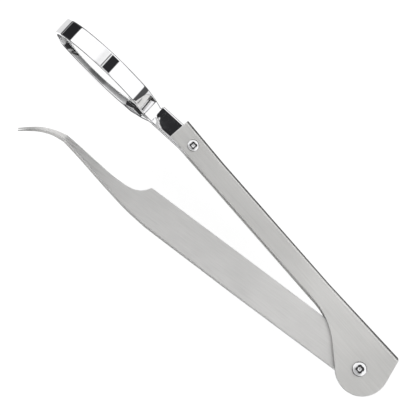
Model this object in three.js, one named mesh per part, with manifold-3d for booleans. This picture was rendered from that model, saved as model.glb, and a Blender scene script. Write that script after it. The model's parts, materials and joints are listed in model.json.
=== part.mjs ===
// Folding stamp tongs with a magnifier, in millimetres, +Z up.
//
// A folded sheet channel, the arm, carries a lens in a split chrome band at its square end and a pair of
// curved-tip tongs on the pivot screw at its round end. The tongs fold towards the open side of the arm.
//
// Frame: the origin is the centre of the pivot nut's flat rear face. +Z runs up the pivot axis, +X along the
// arm's spine towards the lens, and +Y towards the side that the tongs fold out on. Heights named below are
// measured from the middle plane between the two leaves, MID_Z above the origin.
import * as THREE from "three";
import { mergeVertices } from "three/addons/utils/BufferGeometryUtils.js";
import Module from "manifold-3d";

const wasm = await Module();
wasm.setup();

const DEGREE = Math.PI / 180;
const RUN = 0.1; // radial clearance of a turning fit
const SEAT = 0.05; // gap between faces that bear on each other

// Arm: sheet channel, open towards +Y
const SHEET = 0.7;
const ARM_HALF = 3.25; // half the outside width across the plates
const PLATE_INNER = ARM_HALF - SHEET;
const SPINE_Y = -9.75;
const OPEN_EDGE_Y = -3.3;
const ARM_END_X = 86;
const FOLD_R = 1;
const CORNER_R = 1.2;
const ROUND_END = { x: -0.54, y: -0.7, r: 7.92 };
const REAR_ROUND_END = { x: -0.54, y: -1, r: 7.62 }; // the rear plate's round end is a little smaller
const ROUND_END_BACK = 198.5 * DEGREE; // where the round end runs into the straight back edge
const SHOULDER_SLOPE = 36 * DEGREE;
const SHOULDER_R = 22;
const PIVOT_FLARE = { x: 24, slope: 0.03 }; // the spine leans out from here to the round end
const END_FLARE = { x: 70, slope: 0.024 }; // and from here to the square end

// Pivot stack
const HEAD_R = 2.15;
const HEAD_HIGH = 0.9;
const SHANK_R = 1.1;
const BARREL_R = 1.7;
const BARREL_TOP = 3.1;
const WASHER_R = 3.6;
const WASHER_LOW = 1.7;
const REAR_WASHER_THICK = 0.35;
const DISC_SPRING = { r: 3.4, thick: 0.25, rimThick: 0.2 };
const HEAD_SEAT = ARM_HALF + SEAT;
const MID_Z = HEAD_SEAT + HEAD_HIGH;
const SHANK_LOW = -2;
const BORE_FLOOR = -2.5;
const NUT_CHAMFER = 0.25;
const HEAD_ROUNDING = 0.35; // of the head's height
const PIVOT_RECESS = 2.3;
const RECESS_DEPTH = 0.55; // of the head's height
const RECESS_LOBES = { count: 4, middle: 0.42, swing: 0.1 }; // radius, as a share of the size across

// Tongs: two leaves that spread from a hinge line at their tail
const TONGS_ANGLE = 12 * DEGREE;
const LEAF_THICK = 1;
const TIP_THICK = 0.45;
const KINK_THICK = 0.59;
const SPREAD = 1.7 * DEGREE;
const LEAF_LOW = 0.25;
const TAIL_R = 7.5;
const ARM_SIDE = -6.03;
const OUTER_SIDE = 4.2;
const THIN_FROM_X = 80;
const KINK_X = 107.3;
const TIP_X = 119.75;
const TIP_DROP = 5 * DEGREE;
const SPACER_HALF = 0.2;
const SPACER_R = 3.2;
const SPACER_TAIL_R = TAIL_R - 0.2;
const RIVET_X = -5.4;
const RIVET_R = 0.75;
const RIVET_HEAD = { r: 1.2, low: 1.42, edge: 1.54, crownR: 0.72, crown: 1.75, high: 1.8 };

// Lens holder: a band bent round the lens, its two ends brought together as a tang inside the arm
const HOLDER = { x: 79.7, y: -6.42, angle: 6.5 * DEGREE };
const BAND_THICK = 0.9;
const BAND_R = 17.3;
const BAND_LOW_V = -2.4;
const BAND_HIGH_V = 3.1;
const RING_U = 34;
const RING_V = (BAND_LOW_V + BAND_HIGH_V) / 2;
const RING_SKEW = 0.9 * DEGREE; // the ring stands a little askew to the tang
const SKEW_FROM_U = 19.5;
const MOUTH_ANGLE = 143.5 * DEGREE; // where the band leaves the circle
const NECK_U = 14.1; // the bend between neck and tang
const TANG_OUT = 2.45;
const HEEL_LOW_V = -2.05;
const TANG_LOW_V = -2.75;
const TANG_HIGH_V = 2.95;
const TANG_END_U = -2.2;
const NECK_PINCH = 0.95;
const NECK_SWELL = { u: 18.6, low: 0.2, high: 0.35 }; // the band is a little wider where it leaves the neck
const SWELL_END_U = 25;
const GROOVE_R = 16.85;
const GROOVE_HALF = 0.95;
const LENS = { r: 16.6, edgeHalf: 0.8, centreHalf: 2.3 };
const TANG_SCREW = { headR: 1.7, headHigh: 0.6, shankR: 0.7, barrelR: 1.1 };
const TANG_RECESS = 1.9;
const TANG_SLEEVE = { r: 1.95, half: 1.45 };

const BEYOND = 12; // how far a cutting shape reaches past what it cuts
const LAP = 0.02; // overlap of joined shapes

const satin = { color: 0xb9b8b5, roughness: 0.42, metalness: 1 };
const polished = { color: 0xdcdde0, roughness: 0.08, metalness: 1 };
const MATERIALS = {
  satin,
  polished,
  washer: { color: 0x9c9a94, roughness: 0.35, metalness: 1 },
  glass: { color: 0xf2f6f5, roughness: 0.02, metalness: 0, transparent: true, opacity: 0.35 },
};

// Helpers

// A closed three.js geometry as a solid.
function solidOf(geometry) {
  const bare = geometry.clone();
  bare.deleteAttribute("normal");
  bare.deleteAttribute("uv");
  const merged = mergeVertices(bare, 1e-4);
  return new wasm.Manifold(
    new wasm.Mesh({
      numProp: 3,
      vertProperties: merged.attributes.position.array,
      triVerts: new Uint32Array(merged.index.array),
    }),
  );
}

function geometryOf(solid) {
  const mesh = solid.getMesh();
  return new THREE.BufferGeometry()
    .setAttribute("position", new THREE.BufferAttribute(mesh.vertProperties, 3))
    .setIndex(new THREE.BufferAttribute(mesh.triVerts, 1));
}

// A named mesh of one sub-part; flat-shaded because its solid is faceted.
function subPart(name, solid, material) {
  const geometry = geometryOf(solid);
  geometry.computeVertexNormals();
  const look = new THREE.MeshStandardMaterial({ ...MATERIALS[material], flatShading: true });
  const mesh = new THREE.Mesh(geometry, look);
  mesh.name = name;
  return mesh;
}

// An outline of lines and curves extruded along Z, without the doubled points where two curves meet.
function extruded(shape, depth, curveSegments) {
  const points = shape.getPoints(curveSegments);
  const distinct = points.filter((p, i) => p.distanceTo(points[(i + 1) % points.length]) > 1e-3);
  return new THREE.ExtrudeGeometry(new THREE.Shape(distinct), { depth, bevelEnabled: false });
}

// An outline in X and Y, raised from one height to another.
function raised(shape, low, high, curveSegments = 12) {
  return solidOf(extruded(shape, high - low, curveSegments).translate(0, 0, low));
}

// A side view in X and Z, run along Y from one side to the other.
function sideways(shape, low, high) {
  return solidOf(extruded(shape, high - low, 12).rotateX(Math.PI / 2).translate(0, high, 0));
}

// A section in Y and Z, run along X and then leaned by a matrix.
function lengthways(shape, low, high, curveSegments, lean) {
  const turn = new THREE.Matrix4().makeBasis(
    new THREE.Vector3(0, 1, 0),
    new THREE.Vector3(0, 0, 1),
    new THREE.Vector3(1, 0, 0),
  );
  const straight = extruded(shape, high - low, curveSegments).applyMatrix4(turn).translate(low, 0, 0);
  return solidOf(straight.applyMatrix4(lean));
}

// A profile of [radius, height] points turned about the Z axis at x, y.
function turned(points, segments = 24, x = 0, y = 0) {
  const profile = points.map(([r, z]) => new THREE.Vector2(r, z));
  const body = new THREE.LatheGeometry(profile, segments).rotateX(Math.PI / 2);
  return solidOf(body.translate(x, y, 0));
}

function rod(r, low, high, x = 0, y = 0) {
  return turned([[0, low], [r, low], [r, high], [0, high]], 24, x, y);
}

function washer(innerR, outerR, low, high) {
  return turned([[innerR, low], [outerR, low], [outerR, high], [innerR, high], [innerR, low]]);
}

// Arm

// A plate's outline: round end about the pivot, and a long shoulder that sweeps from the round end into the
// open edge. Past the spine it runs out, where the folded channel ends by itself.
function plateOutline({ x, y, r }) {
  const past = SPINE_Y - BEYOND;
  const back = { x: x + r * Math.cos(ROUND_END_BACK), y: y + r * Math.sin(ROUND_END_BACK) };
  const slant = Math.tan(ROUND_END_BACK - Math.PI);
  const spineY = spineAt(back.x);
  const cornerX = back.x + (back.y - spineY) * slant;
  const joinX = x + r * Math.sin(SHOULDER_SLOPE);
  const joinY = y + r * Math.cos(SHOULDER_SLOPE);
  const reach = (joinY - OPEN_EDGE_Y) / Math.tan(SHOULDER_SLOPE);
  const sweepX = joinX + reach + SHOULDER_R * Math.tan(SHOULDER_SLOPE / 2);
  const sweepEnd = -Math.PI / 2 - SHOULDER_SLOPE;
  return new THREE.Shape()
    .moveTo(ARM_END_X, OPEN_EDGE_Y)
    .lineTo(sweepX, OPEN_EDGE_Y)
    .absarc(sweepX, OPEN_EDGE_Y + SHOULDER_R, SHOULDER_R, -Math.PI / 2, sweepEnd, true)
    .absarc(x, y, r, Math.PI / 2 - SHOULDER_SLOPE, ROUND_END_BACK, false)
    .lineTo(cornerX - CORNER_R * slant, spineY + CORNER_R)
    .quadraticCurveTo(cornerX, spineY, cornerX + CORNER_R, spineY)
    .lineTo(cornerX + CORNER_R, past)
    .lineTo(ARM_END_X, past);
}

// The spine's outer face as y at x.
function spineAt(x) {
  const nearPivot = Math.max(0, PIVOT_FLARE.x - x) * PIVOT_FLARE.slope;
  const nearEnd = Math.max(0, x - END_FLARE.x) * END_FLARE.slope;
  return SPINE_Y - nearPivot - nearEnd;
}

// The channel's section: spine and two plates, folded with a radius. It runs out past the open edge, where
// the outline trims it.
function channelSection() {
  const foldInner = FOLD_R - SHEET;
  const innerY = SPINE_Y + SHEET;
  const past = BEYOND;
  return new THREE.Shape()
    .moveTo(past, -ARM_HALF)
    .lineTo(past, -PLATE_INNER)
    .lineTo(innerY + foldInner, -PLATE_INNER)
    .absarc(innerY + foldInner, foldInner - PLATE_INNER, foldInner, -Math.PI / 2, Math.PI, true)
    .lineTo(innerY, PLATE_INNER - foldInner)
    .absarc(innerY + foldInner, PLATE_INNER - foldInner, foldInner, Math.PI, Math.PI / 2, true)
    .lineTo(past, PLATE_INNER)
    .lineTo(past, ARM_HALF)
    .lineTo(SPINE_Y + FOLD_R, ARM_HALF)
    .absarc(SPINE_Y + FOLD_R, ARM_HALF - FOLD_R, FOLD_R, Math.PI / 2, Math.PI, false)
    .lineTo(SPINE_Y, FOLD_R - ARM_HALF)
    .absarc(SPINE_Y + FOLD_R, FOLD_R - ARM_HALF, FOLD_R, Math.PI, 1.5 * Math.PI, false);
}

// A stretch of the channel whose spine leans out by a slope, from its own end of the straight middle.
function channelStretch(low, high, slope = 0, from = 0) {
  const lean = new THREE.Matrix4().makeShear(slope, 0, 0, 0, 0, 0).setPosition(0, -slope * from, 0);
  return lengthways(channelSection(), low, high, 4, lean);
}

function armChannel() {
  const folded = channelStretch(PIVOT_FLARE.x - LAP, END_FLARE.x + LAP)
    .add(channelStretch(-BEYOND, PIVOT_FLARE.x, PIVOT_FLARE.slope, PIVOT_FLARE.x))
    .add(channelStretch(END_FLARE.x, ARM_END_X + BEYOND, -END_FLARE.slope, END_FLARE.x));
  const front = raised(plateOutline(ROUND_END), 0, BEYOND, 20);
  const rear = raised(plateOutline(REAR_ROUND_END), -BEYOND, LAP, 20);
  const bored = folded.intersect(front.add(rear)).subtract(rod(BARREL_R + RUN, -BEYOND, BEYOND));
  const tangHole = rod(TANG_SCREW.barrelR + RUN, -BEYOND, BEYOND, HOLDER.x, HOLDER.y);
  return subPart("arm_channel", bored.subtract(tangHole), "satin");
}

// Screws and their barrel nuts

// Four-lobed driver recess, widest towards the corners.
function recess(across, top, depth) {
  const { count, middle, swing } = RECESS_LOBES;
  const steps = 6 * count;
  const points = [];
  for (let i = 0; i < steps; i += 1) {
    const angle = (i / steps) * 2 * Math.PI;
    const r = across * (middle - swing * Math.cos(count * angle));
    points.push(new THREE.Vector2(r * Math.cos(angle), r * Math.sin(angle)));
  }
  return raised(new THREE.Shape(points), top - depth, top + BEYOND);
}

function screw(name, { headR, headHigh, shankR }, recessAcross) {
  const top = HEAD_SEAT + headHigh;
  const edge = headHigh * HEAD_ROUNDING;
  const body = turned([
    [0, SHANK_LOW],
    [shankR, SHANK_LOW],
    [shankR, HEAD_SEAT],
    [headR, HEAD_SEAT],
    [headR, top - edge],
    [headR - edge / 2, top - edge / 4],
    [headR - edge * 1.4, top],
    [0, top],
  ]);
  return subPart(name, body.subtract(recess(recessAcross, top, headHigh * RECESS_DEPTH)), "polished");
}

// The nut's barrel reaches up through the stack to just under the screw's head, and is bored from its mouth.
function barrelNut(name, { headR, headHigh, shankR, barrelR }) {
  const bottom = -HEAD_SEAT - headHigh;
  const body = turned([
    [0, bottom],
    [headR - NUT_CHAMFER, bottom],
    [headR, bottom + NUT_CHAMFER],
    [headR, -HEAD_SEAT],
    [barrelR, -HEAD_SEAT],
    [barrelR, BARREL_TOP],
    [shankR + RUN, BARREL_TOP],
    [shankR + RUN, BORE_FLOOR],
    [0, BORE_FLOOR],
  ]);
  return subPart(name, body, "polished");
}

function pivotStack() {
  const stack = new THREE.Group();
  const sizes = { headR: HEAD_R, headHigh: HEAD_HIGH, shankR: SHANK_R, barrelR: BARREL_R };
  stack.add(screw("pivot_screw", sizes, PIVOT_RECESS), barrelNut("pivot_nut", sizes));
  const innerR = BARREL_R + RUN;
  const plate = PLATE_INNER - SEAT;
  stack.add(subPart("front_washer", washer(innerR, WASHER_R, WASHER_LOW, plate), "washer"));
  const rearLow = -WASHER_LOW - REAR_WASHER_THICK;
  stack.add(subPart("rear_washer", washer(innerR, WASHER_R, rearLow, -WASHER_LOW), "washer"));
  const { r, thick, rimThick } = DISC_SPRING;
  const cone = turned([
    [innerR, rearLow - SEAT - thick],
    [r, -plate],
    [r, rimThick - plate],
    [innerR, rearLow - SEAT],
    [innerR, rearLow - SEAT - thick],
  ]);
  stack.add(subPart("disc_spring", cone, "washer"));
  return stack;
}

// Tongs

// One leaf seen square on, with X along the blade from the pivot and the arm on the -Y side: a strip of
// constant width, a shoulder on the arm side, a long neck, and a fine tip that curves away from the arm.
function leafOutline() {
  const point = (x, y) => new THREE.Vector2(x, y);
  return new THREE.Shape()
    .moveTo(-Math.sqrt(TAIL_R ** 2 - ARM_SIDE ** 2), ARM_SIDE)
    .lineTo(44, ARM_SIDE)
    .lineTo(78.7, ARM_SIDE + 0.13)
    .lineTo(79.1, ARM_SIDE + 0.33)
    .bezierCurveTo(80.4, -3.3, 82, -2.03, 87, -1.99)
    .splineThru([point(91, -2.05), point(97.7, -2.66), point(103.4, -3.19), point(KINK_X, -3.45)])
    .splineThru([point(110.9, -2.55), point(114.4, -1), point(117, 0.88), point(TIP_X, 3.3)])
    .lineTo(TIP_X - 0.05, 3.4)
    .lineTo(TIP_X - 0.25, 3.42)
    .splineThru([point(116.8, 1.45), point(114.2, -0.16), point(110.9, -1.46), point(KINK_X, -1.94)])
    .splineThru([point(100.6, -0.72), point(91, 1.32), point(86.2, 2.26), point(81, 3.17), point(75, 3.82)])
    .lineTo(72, 3.94)
    .lineTo(57.5, 4.06)
    .lineTo(44, OUTER_SIDE)
    .absarc(0, 0, TAIL_R, Math.PI - Math.asin(OUTER_SIDE / TAIL_R), Math.PI - Math.asin(ARM_SIDE / TAIL_R));
}

// One leaf seen from the side, its inner face at 0: it thins along the neck and its tip turns inwards.
function leafSide() {
  const endX = TIP_X + 1;
  const drop = (endX - KINK_X) * Math.tan(TIP_DROP);
  return new THREE.Shape()
    .moveTo(-BEYOND, 0)
    .lineTo(KINK_X, 0)
    .lineTo(endX, -drop)
    .lineTo(endX, TIP_THICK - drop)
    .lineTo(KINK_X, KINK_THICK)
    .lineTo(THIN_FROM_X, LEAF_THICK)
    .lineTo(-BEYOND, LEAF_THICK);
}

// A leaf in its own frame: the tail's hinge line is the Y axis, and the inner face starts at height 0.
function leaf(name) {
  const plan = raised(leafOutline(), -BEYOND, BEYOND, 5);
  const blank = plan.intersect(sideways(leafSide(), -BEYOND, BEYOND));
  const pivotHole = rod(BARREL_R + RUN, -BEYOND, BEYOND);
  const rivetHole = rod(RIVET_R + RUN, -BEYOND, BEYOND, RIVET_X);
  const made = subPart(name, blank.subtract(pivotHole).subtract(rivetHole), "satin");
  made.geometry.translate(TAIL_R, 0, 0);
  made.position.set(-TAIL_R, 0, LEAF_LOW);
  made.rotation.y = -SPREAD;
  return made;
}

function rootSpacer() {
  const edge = Math.asin(SPACER_R / SPACER_TAIL_R);
  const outline = new THREE.Shape()
    .absarc(0, 0, SPACER_R, -Math.PI / 2, Math.PI / 2, false)
    .absarc(0, 0, SPACER_TAIL_R, Math.PI - edge, Math.PI + edge, false);
  const plate = raised(outline, -SPACER_HALF, SPACER_HALF, 16);
  const pivotHole = rod(BARREL_R + RUN, -BEYOND, BEYOND);
  const rivetHole = rod(RIVET_R + RUN, -BEYOND, BEYOND, RIVET_X);
  return subPart("root_spacer", plate.subtract(pivotHole).subtract(rivetHole), "satin");
}

function tailRivet() {
  const { r, low, edge, crownR, crown, high } = RIVET_HEAD;
  const half = [[RIVET_R, low], [r, low], [r, edge], [crownR, crown], [0, high]];
  const lower = half.map(([radius, z]) => [radius, -z]).reverse();
  return subPart("tail_rivet", turned([...lower, ...half], 16, RIVET_X), "satin");
}

function tongs() {
  const group = new THREE.Group();
  group.rotation.z = TONGS_ANGLE;
  group.add(leaf("front_leaf"), rootSpacer(), tailRivet());
  const mirrored = new THREE.Group();
  mirrored.scale.z = -1;
  mirrored.add(leaf("rear_leaf"));
  group.add(mirrored);
  return group;
}

// Lens holder, with U along the holder from the tang screw, V across the band and Z as the arm's

// A strip of even thickness along a centre line of points, as a closed outline with mitred corners.
function ribbon(points, thick) {
  const sideOf = (sign) =>
    points.map((p, i) => {
      const before = p.clone().sub(points[Math.max(i - 1, 0)]);
      const after = points[Math.min(i + 1, points.length - 1)].clone().sub(p);
      const a = (i ? before : after).clone().normalize();
      const b = (i < points.length - 1 ? after : before).clone().normalize();
      const along = a.clone().add(b).normalize();
      const reach = (sign * thick) / 2 / along.dot(a);
      return new THREE.Vector2(p.x - along.y * reach, p.y + along.x * reach);
    });
  return new THREE.Shape([...sideOf(1), ...sideOf(-1).reverse()]);
}

// The band's centre line: tang, straight neck, round the lens and back.
function bandLine() {
  const r = BAND_R - BAND_THICK / 2;
  const tangZ = TANG_OUT - BAND_THICK / 2;
  const steps = 52;
  const half = [new THREE.Vector2(TANG_END_U - 1, tangZ), new THREE.Vector2(NECK_U, tangZ)];
  const line = half.map((p) => new THREE.Vector2(p.x, -p.y));
  for (let i = 0; i <= steps; i += 1) {
    const angle = MOUTH_ANGLE * ((2 * i) / steps - 1);
    line.push(new THREE.Vector2(RING_U + r * Math.cos(angle), r * Math.sin(angle)));
  }
  return [...line, ...half.reverse()];
}

// The holder seen square to the arm's plates: full band, pinched neck, and a tang whose square heel stops
// against the spine when the holder swings out.
function holderPlan() {
  const ringEndU = RING_U + BAND_R + BEYOND;
  const skewed = (u, v) => new THREE.Vector2(u, v - Math.max(0, u - SKEW_FROM_U) * Math.tan(RING_SKEW));
  return new THREE.Shape([
    skewed(TANG_END_U, -0.6),
    skewed(-0.5, HEEL_LOW_V),
    skewed(4.6, HEEL_LOW_V),
    skewed(5.6, TANG_LOW_V),
    skewed(NECK_U - 0.4, TANG_LOW_V),
    skewed(NECK_U, TANG_LOW_V + NECK_PINCH),
    skewed(NECK_U + 2, TANG_LOW_V + NECK_PINCH / 2),
    skewed(NECK_SWELL.u, BAND_LOW_V - NECK_SWELL.low),
    skewed(SWELL_END_U, BAND_LOW_V),
    skewed(ringEndU, BAND_LOW_V),
    skewed(ringEndU, BAND_HIGH_V),
    skewed(SWELL_END_U, BAND_HIGH_V),
    skewed(NECK_SWELL.u, BAND_HIGH_V + NECK_SWELL.high),
    skewed(NECK_U, TANG_HIGH_V),
    skewed(-0.8, TANG_HIGH_V),
    skewed(TANG_END_U, 1.2),
  ]);
}

// A profile of [radius, v] points turned about the lens axis.
function turnedAcross(points, segments) {
  const profile = points.map(([r, v]) => new THREE.Vector2(r, v));
  const body = new THREE.LatheGeometry(profile, segments).translate(RING_U - SKEW_FROM_U, RING_V, 0);
  return solidOf(body.rotateZ(-RING_SKEW).translate(SKEW_FROM_U, 0, 0));
}

function lensRim() {
  const strip = sideways(ribbon(bandLine(), BAND_THICK), -BEYOND, BEYOND);
  const trimmed = strip.intersect(raised(holderPlan(), -BAND_R - LAP, BAND_R + LAP));
  const inside = GROOVE_R - BAND_THICK;
  const groove = turnedAcross(
    [
      [inside, -GROOVE_HALF],
      [GROOVE_R, -GROOVE_HALF],
      [GROOVE_R, GROOVE_HALF],
      [inside, GROOVE_HALF],
      [inside, -GROOVE_HALF],
    ],
    60,
  );
  const screwHole = rod(TANG_SCREW.barrelR + RUN, -BEYOND, BEYOND);
  return subPart("lens_rim", trimmed.subtract(groove).subtract(screwHole), "polished");
}

function lens() {
  const { r, edgeHalf, centreHalf } = LENS;
  const rise = centreHalf - edgeHalf;
  const surfaceR = (r * r + rise * rise) / (2 * rise);
  const rings = 4;
  const dome = [];
  for (let i = 0; i <= rings; i += 1) {
    const radius = (r * i) / rings;
    dome.push([radius, centreHalf - surfaceR + Math.sqrt(surfaceR ** 2 - radius ** 2)]);
  }
  const lower = dome.map(([radius, v]) => [radius, -v]);
  return subPart("lens", turnedAcross([...lower, ...dome.reverse()], 60), "glass");
}

function lensHolder() {
  const group = new THREE.Group();
  group.position.set(HOLDER.x, HOLDER.y, 0);
  group.rotation.z = HOLDER.angle;
  group.add(lensRim(), lens());
  return group;
}

// The tang screw, its nut and the sleeve that keeps the tang's two plies apart stay with the arm.
function tangStack() {
  const stack = new THREE.Group();
  stack.position.set(HOLDER.x, HOLDER.y, 0);
  stack.add(screw("tang_screw", TANG_SCREW, TANG_RECESS), barrelNut("tang_nut", TANG_SCREW));
  const { r, half } = TANG_SLEEVE;
  stack.add(subPart("tang_sleeve", washer(TANG_SCREW.barrelR + RUN, r, -half, half), "washer"));
  return stack;
}

const tool = new THREE.Group();
tool.position.z = MID_Z;
tool.add(armChannel(), pivotStack(), tongs(), lensHolder(), tangStack());

export default tool;
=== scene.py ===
"""Looks of the folding stamp tongs with a magnifier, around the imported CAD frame.

Lengths are in millimetres, in the frame's axes, until Piece.build turns them into metres. Heights in the
mesh code are measured from the middle plane between the two leaves.
"""

import json
import math

import bpy
from mathutils import Matrix, Vector
from mathutils.geometry import delaunay_2d_cdt


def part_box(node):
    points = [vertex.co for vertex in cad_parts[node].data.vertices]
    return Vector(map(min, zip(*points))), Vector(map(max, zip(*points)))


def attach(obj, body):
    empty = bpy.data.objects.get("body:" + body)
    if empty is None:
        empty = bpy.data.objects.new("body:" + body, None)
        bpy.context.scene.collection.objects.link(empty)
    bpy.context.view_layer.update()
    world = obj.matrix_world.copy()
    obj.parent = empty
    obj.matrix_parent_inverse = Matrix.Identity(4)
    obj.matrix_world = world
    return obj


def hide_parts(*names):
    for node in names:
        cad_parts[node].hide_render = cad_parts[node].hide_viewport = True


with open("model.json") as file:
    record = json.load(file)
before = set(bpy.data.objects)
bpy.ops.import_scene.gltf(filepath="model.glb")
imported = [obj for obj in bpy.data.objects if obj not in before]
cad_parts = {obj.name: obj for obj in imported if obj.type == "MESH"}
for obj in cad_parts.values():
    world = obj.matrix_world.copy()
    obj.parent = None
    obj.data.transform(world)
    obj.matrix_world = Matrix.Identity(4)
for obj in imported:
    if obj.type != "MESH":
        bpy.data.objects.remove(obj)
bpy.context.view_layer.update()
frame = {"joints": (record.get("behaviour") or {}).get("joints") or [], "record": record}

MM = 0.001
DEGREE = math.pi / 180


def span(node):
    """Lowest and highest corner of a CAD node, in millimetres."""
    low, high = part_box(node)
    return low / MM, high / MM


def middle(node):
    """The centre of a CAD node's box, in millimetres."""
    low, high = span(node)
    return (low + high) / 2


def joint(name):
    return next(j for j in frame["joints"] if j["name"] == name)


# Sizes and places taken from the frame
ARM_LOW, ARM_HIGH = span("arm_channel")
MID_Z = (ARM_LOW.z + ARM_HIGH.z) / 2
ARM_HALF = (ARM_HIGH.z - ARM_LOW.z) / 2
ARM_END_X = ARM_HIGH.x
TANG = middle("tang_screw")
PIVOT_HEAD_R = (span("pivot_screw")[1].x - span("pivot_screw")[0].x) / 2
TANG_HEAD_R = (span("tang_screw")[1].x - span("tang_screw")[0].x) / 2
LEAF_AXIS = Vector(joint("front_leaf_squeeze")["axis"])
TONGS_ANGLE = math.atan2(-LEAF_AXIS.x, LEAF_AXIS.y)

# Arm
SHEET = 0.7
FOLD_R = 1.0
SPINE_Y = -9.75
OPEN_EDGE_Y = -3.3
ROUND_END = {"x": -0.54, "y": -0.7, "r": 7.92}
REAR_ROUND_END = {"x": -0.54, "y": -1.0, "r": 7.62}
BACK_ANGLE = 198.5
SHOULDER_SLOPE = 36
SHOULDER_R = 22
PIVOT_FLARE = {"x": 24, "slope": 0.03}
END_FLARE = {"x": 70, "slope": 0.024}

# Pivot stack and screws
RUN = 0.1
SEAT = 0.05
HEAD_SEAT = ARM_HALF + SEAT
PIVOT_HEAD_HIGH = 0.9
TANG_HEAD_HIGH = 0.6
SHANK_R = 1.1
BARREL_R = 1.7
BARREL_TOP = 3.1
TANG_SHANK_R = 0.7
TANG_BARREL_R = 1.1
WASHER_R = 3.6
WASHER_LOW = 1.7
PLATE_INNER = ARM_HALF - SHEET

# Leaves
LEAF_THICK = 1.0
TIP_THICK = 0.45
SPREAD = 1.7 * DEGREE
LEAF_LOW = 0.25
TAIL_R = 7.5
ARM_SIDE = -6.03
OUTER_SIDE = 4.2
THIN_FROM_X = 80
KINK_X = 107.3
KINK_THICK = 0.59
TIP_X = 119.75
TIP_DROP = 5 * DEGREE
RIVET_X = -5.4
RIVET_R = 0.75

# Lens holder, with u along it from the tang screw, v across the band
HOLDER_ANGLE = 6.5 * DEGREE
BAND_THICK = 0.9
BAND_R = 17.3
RING_U = 34.0
RING_LOW_V = -2.4
RING_HIGH_V = 3.1
RING_V = (RING_LOW_V + RING_HIGH_V) / 2
RING_SKEW = 0.9 * DEGREE
SKEW_FROM_U = 19.5
MOUTH_ANGLE = 147
CREASE = (16.72, 4.48)
NECK_U = 14.1
TANG_FACE_Z = 2.45
TANG_Z = TANG_FACE_Z - BAND_THICK / 2
TANG_END_U = -2.2
LENS_R = 16.6
LENS_EDGE_HALF = 0.8
LENS_CENTRE_HALF = 2.3
LENS_INSET = 0.05
LENS_BEVEL = 0.04


# Camera: a long lens over the plates, leaning a little towards the tongs' side

VIEW_TILT = 5.6 * DEGREE
VIEW_ROLL = 48.78 * DEGREE
FIELD = 119.5
LENS = 280
SENSOR = 36
AIM_RIGHT = -42.9
AIM_UP = 46.7
AIM_HIGH = 6


def make_camera():
    """The photo's view: toward runs from the tool to the camera, right and up along the picture's edges."""
    toward = Vector((0, math.sin(VIEW_TILT), math.cos(VIEW_TILT)))
    across = Vector((0, math.cos(VIEW_TILT), -math.sin(VIEW_TILT)))
    along = Vector((1, 0, 0))
    right = -math.cos(VIEW_ROLL) * along - math.sin(VIEW_ROLL) * across
    up = math.sin(VIEW_ROLL) * along - math.cos(VIEW_ROLL) * across
    distance = AIM_HIGH + FIELD / SENSOR * LENS
    place = (right * AIM_RIGHT + up * AIM_UP + toward * distance) * MM
    data = bpy.data.cameras.new("camera")
    data.lens = LENS
    data.sensor_width = SENSOR
    data.clip_start = 0.01
    data.clip_end = 50
    camera = bpy.data.objects.new("camera", data)
    camera.matrix_world = Matrix.Translation(place) @ Matrix((right, up, toward)).transposed().to_4x4()
    bpy.context.scene.collection.objects.link(camera)
    bpy.context.scene.camera = camera


make_camera()
bpy.context.scene.view_settings.view_transform = "Standard"


# Node trees

class Tree:
    """Short calls for the nodes of one material or world."""

    def __init__(self, tree):
        self.tree = tree
        tree.nodes.clear()

    def node(self, kind, **settings):
        made = self.tree.nodes.new(kind)
        for name, value in settings.items():
            setattr(made, name, value)
        return made

    def plug(self, value, socket):
        if isinstance(value, bpy.types.NodeSocket):
            self.tree.links.new(value, socket)
        elif value is not None:
            socket.default_value = value

    def math(self, operation, a, b=None):
        made = self.node("ShaderNodeMath", operation=operation)
        self.plug(a, made.inputs[0])
        self.plug(b, made.inputs[1])
        return made.outputs[0]

    def ramp(self, value, low, high, to_low=0.0, to_high=1.0, smooth=True):
        """to_low up to low, to_high from high on, and a smooth or straight change between them."""
        kind = "SMOOTHSTEP" if smooth else "LINEAR"
        made = self.node("ShaderNodeMapRange", interpolation_type=kind)
        for socket, given in zip(made.inputs, (value, low, high, to_low, to_high)):
            self.plug(given, socket)
        return made.outputs[0]

    def mix(self, factor, a, b):
        made = self.node("ShaderNodeMix", data_type="RGBA")
        self.plug(factor, made.inputs["Factor"])
        of_colour = [socket for socket in made.inputs if socket.type == "RGBA"]
        self.plug(a, of_colour[0])
        self.plug(b, of_colour[1])
        return next(socket for socket in made.outputs if socket.type == "RGBA")

    def noise(self, coordinates, stretch, detail, roughness):
        """Noise with stretch waves to the metre along each axis."""
        mapping = self.node("ShaderNodeMapping")
        self.plug(coordinates, mapping.inputs["Vector"])
        mapping.inputs["Scale"].default_value = stretch
        made = self.node("ShaderNodeTexNoise")
        self.plug(mapping.outputs[0], made.inputs["Vector"])
        made.inputs["Scale"].default_value = 1.0
        made.inputs["Detail"].default_value = detail
        made.inputs["Roughness"].default_value = roughness
        return made.outputs[0]

    def bump(self, height, distance, normal=None):
        made = self.node("ShaderNodeBump")
        made.inputs["Strength"].default_value = 1.0
        made.inputs["Distance"].default_value = distance
        self.plug(height, made.inputs["Height"])
        self.plug(normal, made.inputs["Normal"])
        return made.outputs[0]


# Surroundings

# Dark flags over the tool as (low, high, softness, darkness), in degrees from the zenith towards +u
FLAGS = [
    (-180, -103, 3, 0.25),
    (-15.5, 2.2, 1, 0.985),
    (3.9, 6.5, 0.7, 0.8),
    (6.5, 20, 5, 0.15),
    (89.5, 130, 1.2, 0.99),
    (130, 180, 2, 0.3),
]
# (low, high, softness) in degrees: sides go from the lens holder's upright plane towards +v, angles as above
FLAG_SIDES = (-14, 3, 2)
CARD_SIDES = (3, 38, 3)
CARD_ANGLES = (-22, 22, 6)
CARD_DARK = 0.5
SLIT_ANGLES = (123, 125.5, 0.6)
SLIT_LIGHT = 0.3
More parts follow.
